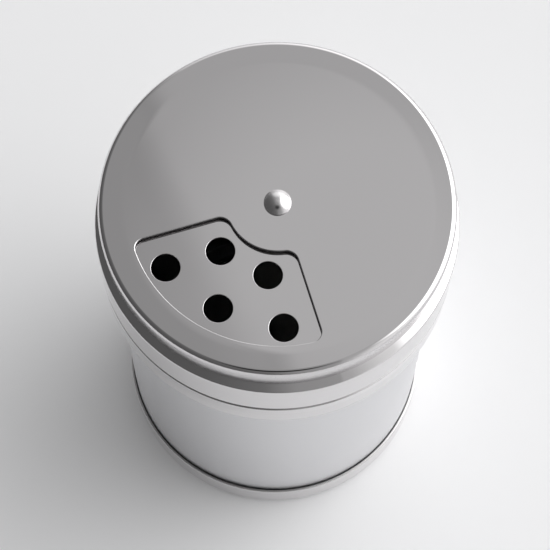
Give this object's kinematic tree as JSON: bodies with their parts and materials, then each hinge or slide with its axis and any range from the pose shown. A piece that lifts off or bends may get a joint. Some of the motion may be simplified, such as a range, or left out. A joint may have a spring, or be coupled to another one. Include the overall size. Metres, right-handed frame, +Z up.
{
  "type": "spice shaker dispenser",
  "caption": "Steel spice shaker: cylindrical jar with a push-on lid whose sieve is opened and closed by a turning cover with a sector window.",
  "frame": {"origin": "centre of the base on the table, under the middle of the bounding box", "axes": "+Z up along the shaker's axis; the viewer stands on the -Y side, and the cover's window faces the front left"},
  "size_m": [0.0686, 0.0686, 0.1003],
  "materials": {
    "polished_steel": "mirror-polished stainless steel",
    "satin_steel": "satin stainless steel, brushed round the jar",
    "inner_steel": "plain rolled stainless steel",
    "liner_plastic": "moulded natural polypropylene"
  },
  "bodies": {
    "jar": {"jar_tube": "satin_steel", "base_cap": "polished_steel"},
    "lid": {"lid_cap": "polished_steel", "lid_liner": "liner_plastic", "pivot_rivet": "polished_steel", "spacer_washer": "liner_plastic", "cup_spring_washer": "inner_steel", "tail_washer": "inner_steel"},
    "cover": {"turning_cover": "polished_steel"}
  },
  "joints": [
    {"name": "lid_lift", "type": "slide", "parent": "jar", "child": "lid", "axis": [0, 0, 1], "range_m": [0, 0.03]},
    {"name": "cover_turn", "type": "hinge", "parent": "lid", "child": "cover", "pos_m": [0, 0, 0.099], "axis": [0, 0, 1], "continuous": true}
  ]
}
